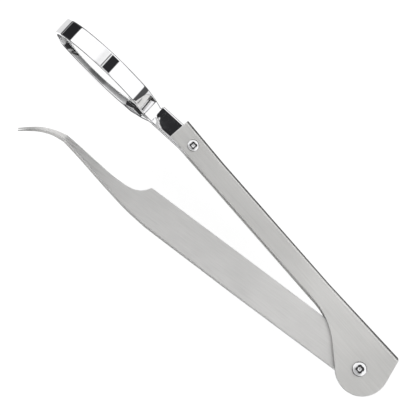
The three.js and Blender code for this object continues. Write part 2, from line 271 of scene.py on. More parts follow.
# The dark ring at the horizon, as levels in degrees: ahead (+u) and behind (-u) its top comes down and its
# bottom goes up by these, where the direction's share along u is between the two END values and more
RING_TOP, TOP_AHEAD, TOP_BEHIND = 35, 34.5, 36.5
RING_BOTTOM, BOTTOM_AHEAD, BOTTOM_BEHIND = -50, 10, 31
RING_SOFT = 1.5
RING_DARK = 0.93
END_FROM, END_TO = 0.75, 0.97
FLAG_COLOUR = (0.008, 0.008, 0.01, 1)
WHITE = (1, 1, 1, 1)
STUDIO_STRENGTH = 1.15
BACKGROUND_STRENGTH = 1.05

FLOOR_REACH = 3000
FLOOR_GAP = 0.2
FLOOR_PAINT = (0.3, 0.3, 0.3, 1)
FLOOR_GLOW = 0.84


def band(tree, angle, low, high, soft):
    """1 between two angles in degrees, and 0 outside them."""
    rise = tree.ramp(angle, low - soft, low + soft)
    fall = tree.ramp(angle, high - soft, high + soft, 1.0, 0.0)
    return tree.math("MULTIPLY", rise, fall)


def make_world():
    """A white studio with dark flags, which give polished steel its black stripes and dark edges.

    The camera sees plain white. Reflections and light come from the studio, by direction along the lens
    holder (u), across its band (v) and up.
    """
    world = bpy.data.worlds.new("studio")
    bpy.context.scene.world = world
    world.use_nodes = True
    tree = Tree(world.node_tree)
    direction = tree.node("ShaderNodeTexCoord").outputs["Generated"]
    turn = tree.node("ShaderNodeVectorRotate", rotation_type="Z_AXIS")
    tree.plug(direction, turn.inputs["Vector"])
    turn.inputs["Angle"].default_value = -HOLDER_ANGLE
    split = tree.node("ShaderNodeSeparateXYZ")
    tree.plug(turn.outputs[0], split.inputs[0])
    u, v, up = split.outputs
    angle = tree.math("DEGREES", tree.math("ARCTAN2", u, up))
    side = tree.math("DEGREES", tree.math("ARCSINE", v))

    dark = None
    for low, high, soft, depth in FLAGS:
        one = tree.math("MULTIPLY", band(tree, angle, low, high, soft), depth)
        dark = one if dark is None else tree.math("MAXIMUM", dark, one)
    dark = tree.math("MULTIPLY", dark, band(tree, side, *FLAG_SIDES))

    # a dark ring at the horizon, lower and thinner towards the two ends of the tool
    level = tree.math("DEGREES", tree.math("ARCSINE", up))
    flat_length = tree.math("SQRT", tree.math("SUBTRACT", 1.0001, tree.math("MULTIPLY", up, up)))
    toward_u = tree.math("DIVIDE", u, flat_length)
    ahead = tree.ramp(toward_u, END_FROM, END_TO)
    behind = tree.ramp(toward_u, -END_TO, -END_FROM, 1, 0)
    top = tree.math("SUBTRACT", RING_TOP, tree.math("MULTIPLY", ahead, TOP_AHEAD))
    top = tree.math("SUBTRACT", top, tree.math("MULTIPLY", behind, TOP_BEHIND))
    bottom = tree.math("ADD", RING_BOTTOM, tree.math("MULTIPLY", behind, BOTTOM_BEHIND))
    bottom = tree.math("ADD", bottom, tree.math("MULTIPLY", ahead, BOTTOM_AHEAD))
    under_top = tree.ramp(tree.math("SUBTRACT", level, top), -RING_SOFT, RING_SOFT, 1, 0)
    over_bottom = tree.ramp(tree.math("SUBTRACT", level, bottom), -RING_SOFT, RING_SOFT)
    ring_dark = tree.math("MULTIPLY", tree.math("MULTIPLY", under_top, over_bottom), RING_DARK)
    dark = tree.math("MAXIMUM", dark, ring_dark)

    # a grey card beside the black flag over the tool, and a slit in the flag ahead of it
    card = tree.math("MULTIPLY", band(tree, side, *CARD_SIDES), band(tree, angle, *CARD_ANGLES))
    dark = tree.math("MAXIMUM", dark, tree.math("MULTIPLY", card, CARD_DARK))
    slit = tree.math("MULTIPLY", band(tree, angle, *SLIT_ANGLES), -SLIT_LIGHT)
    dark = tree.math("MULTIPLY", dark, tree.math("ADD", slit, 1))

    lit = tree.node("ShaderNodeBackground")
    lit.inputs["Strength"].default_value = STUDIO_STRENGTH
    tree.plug(tree.mix(dark, WHITE, FLAG_COLOUR), lit.inputs["Color"])
    plain = tree.node("ShaderNodeBackground")
    plain.inputs["Strength"].default_value = BACKGROUND_STRENGTH
    plain.inputs["Color"].default_value = WHITE
    choose = tree.node("ShaderNodeMixShader")
    tree.plug(tree.node("ShaderNodeLightPath").outputs["Is Camera Ray"], choose.inputs[0])
    tree.plug(lit.outputs[0], choose.inputs[1])
    tree.plug(plain.outputs[0], choose.inputs[2])
    output = tree.node("ShaderNodeOutputWorld")
    tree.plug(choose.outputs[0], output.inputs[0])


def make_floor():
    """A plain pale floor under the lens band, bright enough to keep its shadows faint."""
    height = MID_Z - BAND_R - FLOOR_GAP
    signs = [(-1, -1), (1, -1), (1, 1), (-1, 1)]
    corners = [Vector((x * FLOOR_REACH, y * FLOOR_REACH, height)) * MM for x, y in signs]
    mesh = bpy.data.meshes.new("floor")
    mesh.from_pydata(corners, [], [(0, 1, 2, 3)])
    material = bpy.data.materials.new("pale_floor")
    material.use_nodes = True
    tree = Tree(material.node_tree)
    paint = tree.node("ShaderNodeBsdfDiffuse")
    paint.inputs["Color"].default_value = FLOOR_PAINT
    glow = tree.node("ShaderNodeEmission")
    glow.inputs["Color"].default_value = WHITE
    glow.inputs["Strength"].default_value = FLOOR_GLOW
    both = tree.node("ShaderNodeAddShader")
    tree.plug(paint.outputs[0], both.inputs[0])
    tree.plug(glow.outputs[0], both.inputs[1])
    tree.plug(both.outputs[0], tree.node("ShaderNodeOutputMaterial").inputs[0])
    mesh.materials.append(material)
    floor = bpy.data.objects.new("floor", mesh)
    bpy.context.scene.collection.objects.link(floor)
    floor.visible_glossy = False


def make_light(name, place, aim, size, power):
    """A rectangular area light, placed and sized in millimetres, with its power in watts."""
    data = bpy.data.lights.new(name, "AREA")
    data.shape = "RECTANGLE"
    data.size, data.size_y = (length * MM for length in size)
    data.energy = power
    light = bpy.data.objects.new(name, data)
    light.location = Vector(place) * MM
    light.rotation_euler = (Vector(aim) - Vector(place)).to_track_quat("-Z", "Y").to_euler()
    bpy.context.scene.collection.objects.link(light)


make_world()
make_floor()
make_light("soft_box", (60, 260, 240), (50, 0, 6), (120, 120), 0.02)


# Materials

def surface(name):
    """A new material's tree, its Principled shader and the object's own coordinates."""
    material = bpy.data.materials.new(name)
    material.use_nodes = True
    tree = Tree(material.node_tree)
    shader = tree.node("ShaderNodeBsdfPrincipled")
    tree.plug(shader.outputs[0], tree.node("ShaderNodeOutputMaterial").inputs[0])
    where = tree.node("ShaderNodeTexCoord").outputs["Object"]
    return material, tree, shader, where


# Waves to the metre along the steel's length, across it and up, and depths in metres
STREAKS = (90, 5200, 5200)
CLOUDS = (70, 160, 160)
STREAK_DEPTH = 0.000012
CLOUD_DEPTH = 0.00005
# a lighter colour mixed into the rims of the sheet steel: a painted edge highlight
PAINTED_HIGHLIGHT_COLOUR = (0.86, 0.86, 0.86, 1)
# a near black colour painted into screw recesses and round the heads' feet: painted shade
PAINTED_SHADE_COLOUR = (0.05, 0.05, 0.05, 1)


def satin_steel(name, tone, turn, rough_near, rough_far, smooth_from, smooth_to, painted_light):
    """Sheet steel brushed along its length: fine streaks, faint cloudiness, and rims painted lighter as an
    edge highlight.

    turn is the length's angle from X. The roughness goes from rough_near to rough_far between two places
    along the length, and the last argument holds the colour's brightness as (place, factor) pairs: painted
    light and shade along the length. Places are in metres.
    """
    material, tree, shader, where = surface(name)
    rotate = tree.node("ShaderNodeVectorRotate", rotation_type="Z_AXIS")
    tree.plug(where, rotate.inputs["Vector"])
    rotate.inputs["Angle"].default_value = -turn
    along = rotate.outputs[0]
    split = tree.node("ShaderNodeSeparateXYZ")
    tree.plug(along, split.inputs[0])
    streaks = tree.noise(along, STREAKS, 4, 0.6)
    clouds = tree.noise(along, CLOUDS, 2, 0.5)
    rim = tree.node("ShaderNodeAttribute", attribute_name="rim").outputs["Fac"]

    shade = tree.ramp(streaks, 0.25, 0.75, 0.93, 1.05, smooth=False)
    shade = tree.math("MULTIPLY", shade, tree.ramp(clouds, 0.3, 0.7, 0.975, 1.02, smooth=False))
    # painted light and shade: the colour made brighter or darker by place along the length
    for (start, before), (end, after) in zip(painted_light, painted_light[1:]):
        shade = tree.math("MULTIPLY", shade, tree.ramp(split.outputs[0], start, end, 1, after / before))
    shade = tree.math("MULTIPLY", shade, painted_light[0][1])
    scale = tree.node("ShaderNodeVectorMath", operation="SCALE")
    scale.inputs[0].default_value = tone
    tree.plug(shade, scale.inputs["Scale"])
    # the rims are painted lighter here: a painted edge highlight
    painted_highlight = tree.mix(tree.math("MULTIPLY", rim, 0.35), scale.outputs[0], PAINTED_HIGHLIGHT_COLOUR)
    tree.plug(painted_highlight, shader.inputs["Base Color"])

    rough = tree.ramp(split.outputs[0], smooth_from, smooth_to, rough_near, rough_far)
    rough = tree.math("ADD", rough, tree.ramp(streaks, 0.25, 0.75, -0.035, 0.035, smooth=False))
    rough = tree.math("SUBTRACT", rough, tree.math("MULTIPLY", rim, 0.1))
    tree.plug(rough, shader.inputs["Roughness"])
    fine = tree.bump(streaks, STREAK_DEPTH)
    tree.plug(tree.bump(clouds, CLOUD_DEPTH, normal=fine), shader.inputs["Normal"])
    shader.inputs["Metallic"].default_value = 1.0
    return material


def chrome(name, tone, rough, wave):
    """Bright steel or plating: nearly a mirror, with faint smudges, long waves, and painted shade darkening
    a screw's recess and the foot of its head.
    """
    material, tree, shader, where = surface(name)
    smudges = tree.noise(where, (420, 420, 420), 4, 0.6)
    waves = tree.noise(where, (95, 95, 95), 1, 0.4)
    tree.plug(tree.ramp(smudges, 0.35, 0.75, rough * 0.6, rough * 1.7), shader.inputs["Roughness"])
    shade = tree.mix(tree.ramp(smudges, 0.4, 0.8), (*tone, 1), (*(c * 0.95 for c in tone), 1))
    # painted shade: the share darkens the colour to near black in a screw's recess and round the foot of its
    # head
    painted_shade = tree.node("ShaderNodeAttribute", attribute_name="painted_shade").outputs["Fac"]
    tree.plug(tree.mix(painted_shade, shade, PAINTED_SHADE_COLOUR), shader.inputs["Base Color"])
    tree.plug(tree.bump(waves, wave), shader.inputs["Normal"])
    shader.inputs["Metallic"].default_value = 1.0
    return material


def lens_glass():
    """Clear glass with faint smears."""
    material, tree, shader, where = surface("lens_glass")
    smears = tree.noise(where, (260, 260, 260), 3, 0.6)
    tree.plug(tree.ramp(smears, 0.45, 0.8, 0.0, 0.012), shader.inputs["Roughness"])
    tint = tree.mix(tree.ramp(smears, 0.3, 0.8), (0.985, 0.995, 0.99, 1), (0.97, 0.985, 0.98, 1))
    tree.plug(tint, shader.inputs["Base Color"])
    shader.inputs["Transmission Weight"].default_value = 1.0
    shader.inputs["IOR"].default_value = 1.52
    return material


# Painted light and shade along the length, as (metres, factor): a brighter patch some 20 to 35 mm out from
# the pivot as a painted highlight, and on the leaves a lighter facet past the kink and a darker tip
ARM_PAINTED_LIGHT = [(-0.009, 1.0), (0.019, 1.12), (0.024, 1.12), (0.045, 1.0), (0.086, 0.99)]
LEAF_PAINTED_LIGHT = [(0.002, 1.06), (0.022, 1.12), (0.035, 1.1), (0.045, 1.03), (0.086, 0.98), (0.104, 0.95),
              (0.109, 1.12), (0.1125, 1.12), (0.1185, 0.62)]
ARM_STEEL = satin_steel("arm_steel", (0.715, 0.71, 0.695), 0, 0.42, 0.38, 0, 0.09, ARM_PAINTED_LIGHT)
LEAF_STEEL = satin_steel("leaf_steel", (0.715, 0.71, 0.7), TONGS_ANGLE, 0.42, 0.28, 0.075, 0.106, LEAF_PAINTED_LIGHT)
CHROME = chrome("chrome_band", (0.9, 0.9, 0.91), 0.035, 0.00002)
SCREW_STEEL = chrome("polished_steel", (0.84, 0.84, 0.85), 0.1, 0.00001)
WASHER_STEEL = satin_steel("washer_steel", (0.52, 0.51, 0.48), 0, 0.34, 0.34, 0, 0.1, [(0, 1.0)])
GLASS = lens_glass()


# Mesh building

class Piece:
    """Vertices in millimetres and faces, gathered and then built as one object.

    Each vertex has a share from 0 to 1 that the material reads: for a rim painted lighter as an edge
    highlight, or for painted shade.
    """

    def __init__(self):
        self.points = []
        self.faces = []
        self.shares = []

    def row(self, points, share=0.0):
        """Adds vertices, and says where they are in the list."""
        start = len(self.points)
        self.points.extend(Vector(p) for p in points)
        self.shares.extend([share] * (len(self.points) - start))
        return list(range(start, len(self.points)))

    def join(self, first, second):
        """Faces between two closed rows of one length, with the outside right of the first row's way."""
        for i in range(len(first)):
            j = (i + 1) % len(first)
            self.faces.append((first[i], second[i], second[j], first[j]))

    def fan(self, row, centre):
        """Faces from a closed row to one vertex, which is left of the row's way."""
        for i, vertex in enumerate(row):
            self.faces.append((vertex, row[(i + 1) % len(row)], centre))

    def build(self, name, node, material, sharp=50, weighted=True, mask="rim", hole=None):
        """Makes the object that stands for a CAD node, with an upright hole (x, y, r) where one is given.

        sharp is the angle in degrees past which an edge stays sharp, and mask the name of the shares.
        """
        body = next(b for b, nodes in frame["record"]["behaviour"]["bodies"].items() if node in nodes)
        mesh = bpy.data.meshes.new(name)
        lift = Vector((0, 0, MID_Z))
        mesh.from_pydata([(p + lift) * MM for p in self.points], [], self.faces)
        mesh.attributes.new(mask, "FLOAT", "POINT").data.foreach_set("value", self.shares)
        mesh.validate()
        mesh.materials.append(material)
        mesh.shade_smooth()
        mesh.set_sharp_from_angle(angle=sharp * DEGREE)
        made = bpy.data.objects.new(name, mesh)
        bpy.context.scene.collection.objects.link(made)
        if hole:
            bore(made, *hole)
        if weighted:
            made.modifiers.new("even_shading", "WEIGHTED_NORMAL").keep_sharp = True
        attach(made, body)
        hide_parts(node)


BORE_SIDES = 64
BORE_REACH = 20


def bore(made, x, y, r):
    """Cuts a round hole right through an object along Z."""
    rim = arc(x, y, r, 0, 360, BORE_SIDES)[:-1]
    corners = [Vector((p.x, p.y, z)) * MM for z in (MID_Z - BORE_REACH, MID_Z + BORE_REACH) for p in rim]
    after = [(i + 1) % BORE_SIDES for i in range(BORE_SIDES)]
    sides = [(i, after[i], after[i] + BORE_SIDES, i + BORE_SIDES) for i in range(BORE_SIDES)]
    caps = [tuple(reversed(range(BORE_SIDES))), tuple(range(BORE_SIDES, 2 * BORE_SIDES))]
    mesh = bpy.data.meshes.new("cutter")
    mesh.from_pydata(corners, [], sides + caps)
    cutter = bpy.data.objects.new("cutter", mesh)
    bpy.context.scene.collection.objects.link(cutter)
    cut = made.modifiers.new("hole", "BOOLEAN")
    cut.operation = "DIFFERENCE"
    cut.solver = "EXACT"
    cut.object = cutter
    whole = made.data
    evaluated = made.evaluated_get(bpy.context.evaluated_depsgraph_get())
    made.data = bpy.data.meshes.new_from_object(evaluated)
    made.data.name = made.name
    made.modifiers.remove(cut)
    bpy.data.objects.remove(cutter)
    bpy.data.meshes.remove(mesh)
    bpy.data.meshes.remove(whole)


def arc(x, y, r, start, end, count):
    """Points on an arc, with its angles in degrees."""
    angles = [(start + (end - start) * i / count) * DEGREE for i in range(count + 1)]
    return [Vector((x + r * math.cos(a), y + r * math.sin(a))) for a in angles]


def smooth_line(keys, steps=6):
    """A Catmull-Rom curve through key points."""
    keys = [Vector(k) for k in keys]
    ends = [keys[0] * 2 - keys[1], *keys, keys[-1] * 2 - keys[-2]]
    line = []
    for a, b, c, d in zip(ends, ends[1:], ends[2:], ends[3:]):
        square = 2 * a - 5 * b + 4 * c - d
        cube = 3 * b - a - 3 * c + d
        for i in range(steps):
            t = i / steps
            line.append(0.5 * (2 * b + (c - a) * t + square * t**2 + cube * t**3))
    return [*line, keys[-1]]


def bezier(a, b, c, d, count):
    """Points on a cubic Bezier curve."""
    a, b, c, d = (Vector(p) for p in (a, b, c, d))
    steps = [i / count for i in range(count + 1)]
    return [a * (1 - t) ** 3 + b * 3 * t * (1 - t) ** 2 + c * 3 * t**2 * (1 - t) + d * t**3 for t in steps]


def inset(loop, distance, share=None):
    """A closed loop moved to its left by a distance, or by share(point) of it, with mitred corners."""
    moved = []
    for i, p in enumerate(loop):
        before = (p - loop[i - 1]).normalized()
        after = (loop[(i + 1) % len(loop)] - p).normalized()
        along = (before + after).normalized()
        reach = distance * (share(p) if share else 1) / max(along.dot(before), 0.5)
        moved.append(Vector((p.x - along.y * reach, p.y + along.x * reach)))
    return moved


HOLE_SIDES = 48
# How many rim radii in from the edge a plate's flat cap starts
CAP_MARGIN = 2.6


def plate(piece, outer, holes, half, rim, place, ties=(), share=None, steps=4):
    """A flat plate, half its thickness up and down, with rims rounded by the radius rim.

    outer is a loop that runs anticlockwise, holes are (x, y, r), and ties are (first, points, last): places
    in outer that a chain of edges joins across the caps, by way of points. place(a, b, height) puts a point
    of the plate into the frame. share(point) narrows the rim where the plate is fine.
    """
    # each row: its inset, its height, and how much painted edge highlight its rim gets
    rows = [(rim * CAP_MARGIN, half, 0.0)]
    for i in range(steps + 1):
        turn = i / steps * math.pi / 2
        rows.append((rim * (1 - math.sin(turn)), half - rim * (1 - math.cos(turn)), 1.0 if i else 0.6))
    rows += [(gap, -height, painted_highlight) for gap, height, painted_highlight in reversed(rows)]
    loops = [outer] + [arc(x, y, r, 360, 0, HOLE_SIDES)[:-1] for x, y, r in holes]
    top, bottom, flat, edges = [], [], [], []
    for loop in loops:
        made = []
        for gap, height, painted_highlight in rows:
            made.append(piece.row([place(p.x, p.y, height) for p in inset(loop, gap, share)], painted_highlight))
        for first, second in zip(made, made[1:]):
            piece.join(first, second)
        start = len(flat)
        flat += inset(loop, rows[0][0], share)
        edges += [(start + i, start + (i + 1) % len(loop)) for i in range(len(loop))]
        top += made[0]
        bottom += made[-1]
    for first, between_ends, last in ties:
        chain = [first, *range(len(flat), len(flat) + len(between_ends)), last]
        edges += list(zip(chain, chain[1:]))
        flat += [Vector(p) for p in between_ends]
        top += piece.row([place(*p, half) for p in between_ends])
        bottom += piece.row([place(*p, -half) for p in between_ends])
    points, _, faces, sources, _, _ = delaunay_2d_cdt(flat, edges, [], 1, 1e-7)
    empty = [(Vector((x, y)), (r + rows[0][0]) * math.cos(math.pi / HOLE_SIDES)) for x, y, r in holes]
    for face in faces:
        centre = sum((points[i] for i in face), Vector((0, 0))) / len(face)
        if any((centre - middle_of_hole).length < clear for middle_of_hole, clear in empty):
            continue
        corners = [sources[i][0] for i in face]
        piece.faces.append([top[i] for i in corners])
        piece.faces.append([bottom[i] for i in reversed(corners)])


def turned(piece, profile, x=0.0, y=0.0, count=96):
    """A solid of revolution about an upright axis.

    profile is (radius, height) pairs in the order that keeps the solid on the left: out along the bottom, up
    the side and in along the top. It starts and ends on the axis, or closes on itself.
    """
    ways = [(math.cos(2 * math.pi * i / count), math.sin(2 * math.pi * i / count)) for i in range(count)]
    on_axis = profile[0][0] == 0
    shown = profile[1:-1] if on_axis else profile
    rows = [piece.row([(x + r * c, y + r * s, z) for c, s in ways]) for r, z in shown]
    for lower, upper in zip(rows, rows[1:]):
        piece.join(upper, lower)
    if on_axis:
        piece.fan(rows[-1], piece.row([(x, y, profile[-1][1])])[0])
        piece.fan(list(reversed(rows[0])), piece.row([(x, y, profile[0][1])])[0])
    else:
        piece.join(rows[0], rows[-1])


def rounded(profile, r, steps=3, closed=False):
    """A profile with its corners rounded, the two ends aside unless it is closed."""
    points = [Vector(p) for p in profile]
    made = []
    for i, p in enumerate(points):
        if not closed and i in (0, len(points) - 1):
            made.append(tuple(p))
            continue
        before, after = points[i - 1] - p, points[(i + 1) % len(points)] - p
        cut = min(r, before.length * 0.45, after.length * 0.45)
        a, b = p + before.normalized() * cut, p + after.normalized() * cut
        for k in range(steps + 1):
            t = k / steps
            made.append(tuple(a * (1 - t) ** 2 + p * 2 * t * (1 - t) + b * t**2))
    return made


# Arm

ARM_RIM = 0.17
BACK_RELIEF = 0.5
FOLD_FLAT = ARM_HALF - FOLD_R
FOLD_MID_R = FOLD_R - SHEET / 2
FOLD_END = FOLD_FLAT + FOLD_MID_R * math.pi / 2
FOLD_ROWS = 6


def spine_y(x):
    """The spine's outer face as y at x: straight, and leaning out towards both ends."""
    near_pivot = max(0, PIVOT_FLARE["x"] - x) * PIVOT_FLARE["slope"]
    near_end = max(0, x - END_FLARE["x"]) * END_FLARE["slope"]
    return SPINE_Y - near_pivot - near_end


def strip_place(x, s, height):
    """A point of the arm's flat blank, s across it from the middle of the spine, after folding."""
    sign = 1 if s > 0 else -1
    s = abs(s)
    turn = min(max((s - FOLD_FLAT) / FOLD_MID_R, 0), math.pi / 2)
    r = FOLD_MID_R + height
    y = spine_y(x) + FOLD_R - r * math.cos(turn) + max(s - FOLD_END, 0)
    z = min(s, FOLD_FLAT) + r * math.sin(turn)
    return Vector((x, y, sign * z))


def across_blank(x, y):
    """How far a point of a flat plate is across the blank from the middle of the spine."""
    return FOLD_END + y - spine_y(x) - FOLD_R


def half_blank(end, folds):
    """One plate's outline on the blank, from the arm's square end round to the fold's last row."""
    slope = SHOULDER_SLOPE * DEGREE
    join = Vector((end["x"] + end["r"] * math.sin(slope), end["y"] + end["r"] * math.cos(slope)))
    sweep_x = join.x + (join.y - OPEN_EDGE_Y) / math.tan(slope) + SHOULDER_R * math.tan(slope / 2)
    sweep = arc(sweep_x, OPEN_EDGE_Y + SHOULDER_R, SHOULDER_R, -90, -90 - SHOULDER_SLOPE, 24)
    round_end = arc(end["x"], end["y"], end["r"], 90 - SHOULDER_SLOPE, BACK_ANGLE, 60)
    back = round_end[-1]
    slant = math.tan((BACK_ANGLE - 180) * DEGREE)
    reach = [ARM_END_X - (ARM_END_X - sweep_x) * i / 8 for i in range(8)]
    reach = sorted([*reach, END_FLARE["x"]], reverse=True)
    outline = [Vector((x, OPEN_EDGE_Y)) for x in reach] + sweep + round_end
    outline = [Vector((p.x, across_blank(p.x, p.y))) for p in outline]
    fold_y = spine_y(back.x) + FOLD_R

    def back_x(s):
        y = strip_place(back.x, s, 0).y
        return back.x + (back.y - y) * slant + BACK_RELIEF * max(0, (fold_y - y) / FOLD_MID_R) ** 2

    return outline, [Vector((back_x(s), s)) for s in folds]


def arm_sheet():
    """The channel: two plates and the spine between them as one blank, folded."""
    folds = [FOLD_FLAT + FOLD_MID_R * math.pi / 2 * (1 - i / FOLD_ROWS) for i in range(FOLD_ROWS + 1)]
    front, front_left = half_blank(ROUND_END, folds)
    rear, rear_left = half_blank(REAR_ROUND_END, folds)
    loop = front + front_left + [Vector((p.x, -p.y)) for p in reversed(rear + rear_left)]
    crossing = [-s for s in folds] + list(reversed(folds))
    start = len(loop)
    loop += [Vector((ARM_END_X, s)) for s in crossing]
    bends = [PIVOT_FLARE["x"], END_FLARE["x"]]
    ties = []
    for i, s in enumerate(reversed(crossing)):
        ties.append((len(front) + i, [(x, s) for x in bends], start + len(crossing) - 1 - i))
    holes = [(0, side * across_blank(0, 0), BARREL_R + RUN) for side in (1, -1)]
    holes += [(TANG.x, side * across_blank(TANG.x, TANG.y), TANG_BARREL_R + RUN) for side in (1, -1)]
    piece = Piece()
    plate(piece, loop, holes, SHEET / 2, ARM_RIM, strip_place, ties)
    piece.build("arm_sheet", "arm_channel", ARM_STEEL)


# Tongs

LEAF_RIM = 0.13
SPACER_R = 3.2
SPACER_HALF = 0.2
SPACER_RIM = 0.06
TAIL_INSET = 0.2
RIVET_HEAD_R = 1.2
RIVET_HEAD_LOW = 1.42
RIVET_HEAD_HIGH = 1.8


def leaf_sides():
    """The leaf's two long edges from tail to tip as y at x: the arm's side and the outer side."""
    arm_side = [Vector((-4.4, ARM_SIDE)), Vector((44, ARM_SIDE)), Vector((78.7, ARM_SIDE + 0.13))]
    arm_side += bezier((79.1, ARM_SIDE + 0.33), (80.4, -3.3), (82, -2.03), (87, -1.99), 16)
    arm_side += smooth_line([(87, -1.99), (91, -2.05), (97.7, -2.66), (103.4, -3.19), (KINK_X, -3.45)])[1:]
    arm_side += smooth_line([(KINK_X, -3.45), (110.9, -2.55), (114.4, -1), (117, 0.88), (TIP_X, 3.3)])[1:]
    outer = [Vector((-6.2, OUTER_SIDE)), Vector((44, OUTER_SIDE)), Vector((57.5, 4.06)), Vector((72, 3.94))]
    outer += smooth_line([(75, 3.82), (81, 3.17), (86.2, 2.26), (91, 1.32), (100.6, -0.72), (KINK_X, -1.94)])
    tip = [(110.9, -1.46), (114.2, -0.16), (116.8, 1.45), (TIP_X - 0.25, 3.42)]
    outer += smooth_line([(KINK_X, -1.94), *tip])[1:]
    return arm_side, outer


def height_at(line, x):
    """A line's y at x."""
    for a, b in zip(line, line[1:]):
        if a.x <= x <= b.x and b.x > a.x:
            return a.y + (b.y - a.y) * (x - a.x) / (b.x - a.x)
    return line[-1].y


def fine_rim(point):
    """How much of the full rim a leaf has: less along its narrow tip."""
    return between(point.x, [(104, 1.0), (110, 0.42), (TIP_X, 0.2)])


def leaf_place(side):
    """Puts a point of a flat leaf blank into the frame: tapered, bent at the kink, spread and turned."""
    cos_t, sin_t = math.cos(TONGS_ANGLE), math.sin(TONGS_ANGLE)

    def place(x, y, height):
        if x < THIN_FROM_X:
            thick = LEAF_THICK
        elif x < KINK_X:
            thick = LEAF_THICK + (KINK_THICK - LEAF_THICK) * (x - THIN_FROM_X) / (KINK_X - THIN_FROM_X)
        else:
            thick = KINK_THICK + (TIP_THICK - KINK_THICK) * (x - KINK_X) / (TIP_X - KINK_X)
        drop = max(x - KINK_X, 0) * math.tan(TIP_DROP)
        z = thick * (0.5 + height / LEAF_THICK) - drop
        from_tail = x + TAIL_R
        x = from_tail * math.cos(SPREAD) - z * math.sin(SPREAD) - TAIL_R
        z = from_tail * math.sin(SPREAD) + z * math.cos(SPREAD) + LEAF_LOW
        return Vector((x * cos_t - y * sin_t, x * sin_t + y * cos_t, side * z))

    return place


def leaf(name, node, side):
    """One leaf, in front of the middle plane where side is 1 and behind it where side is -1."""
    arm_side, outer = leaf_sides()
    # where edges cross the leaf: close together where its sides curve, and at its kink
    stations = [10 + 4 * i for i in range(17)] + [78, 78.7, 78.9, 79.1]
    stations += [79.1 + 0.35 * i for i in range(1, 24)]
    stations += [88 + i for i in range(19)] + [KINK_X - 0.6, KINK_X - 0.25, KINK_X, KINK_X + 0.3]
    stations += [KINK_X + 0.7 + 0.5 * i for i in range(22)]
    lower = [Vector((x, height_at(arm_side, x))) for x in stations]
    upper = [Vector((x, height_at(outer, x))) for x in stations]
    tip = [Vector((TIP_X, 3.3)), Vector((TIP_X - 0.05, 3.4)), Vector((TIP_X - 0.25, 3.42))]
    tail_from = 180 - math.asin(OUTER_SIDE / TAIL_R) / DEGREE
    tail_to = 180 - math.asin(ARM_SIDE / TAIL_R) / DEGREE
    tail = arc(0, 0, TAIL_R, tail_from, tail_to, 24)
    shank = [Vector((x, ARM_SIDE)) for x in (-2, 2, 6)]
    back = [Vector((x, OUTER_SIDE)) for x in (6, 2, -2)]
    loop = shank + lower + tip + list(reversed(upper)) + back + tail
    first = len(shank)
    last = first + 2 * len(stations) + len(tip) - 1
    ties = [(first + i, (), last - i) for i in range(len(stations))]
    ties.append((first - 1, (), last + 1))
    holes = [(0, 0, BARREL_R + RUN), (RIVET_X, 0, RIVET_R + RUN)]
    piece = Piece()
    plate(piece, loop, holes, LEAF_THICK / 2, LEAF_RIM, leaf_place(side), ties, fine_rim)
    if side < 0:
        piece.faces = [tuple(reversed(face)) for face in piece.faces]
    piece.build(name, node, LEAF_STEEL)


def spacer_plate():
    """A thin plate between the leaves' tails, round at the pivot and at its back end."""
    back_r = TAIL_R - TAIL_INSET
    edge = math.asin(SPACER_R / back_r) / DEGREE
    loop = arc(0, 0, SPACER_R, -90, 90, 40) + arc(0, 0, back_r, 180 - edge, 180 + edge, 20)
    turn = Matrix.Rotation(TONGS_ANGLE, 3, "Z")
    holes = [(0, 0, BARREL_R + RUN), (RIVET_X, 0, RIVET_R + RUN)]
    piece = Piece()
    plate(piece, loop, holes, SPACER_HALF, SPACER_RIM, lambda x, y, height: turn @ Vector((x, y, height)))
    piece.build("root_spacer_plate", "root_spacer", LEAF_STEEL)


def rivet():
    """A pin with a low domed head on each side."""
    low, high = RIVET_HEAD_LOW, RIVET_HEAD_HIGH
    half = [(RIVET_R, low), (RIVET_HEAD_R, low), (RIVET_HEAD_R, low + 0.12)]
    half += [(RIVET_HEAD_R * 0.6, high - 0.05), (0, high)]
    profile = [(r, -z) for r, z in reversed(half)] + half
    piece = Piece()
    x, y = RIVET_X * math.cos(TONGS_ANGLE), RIVET_X * math.sin(TONGS_ANGLE)
    turned(piece, rounded(profile, 0.1), x, y, 48)
    piece.build("tail_rivet_pin", "tail_rivet", LEAF_STEEL, sharp=60)


# Screws, nuts and washers

PIVOT_RECESS = 2.3
TANG_RECESS = 1.9
# A head's recess depth and rounded edge as shares of its height, and its dome as a share of its radius
RECESS_DEPTH = 0.55
HEAD_EDGE = 0.42
DOME = 0.11
# The recess's half width as a share of its width: its mean, and the wave of its four lobes
LOBE_MID = 0.48
LOBE_WAVE = 0.07
HEAD_SIDES = 128
SHANK_END = -2.0
SHANK_CHAMFER = 0.1
NUT_FLOOR = -2.5
NUT_CHAMFER = 0.25
REAR_WASHER_THICK = 0.35
SPRING_R = WASHER_R - 0.2
SPRING_THICK = 0.25
SPRING_RIM = 0.2


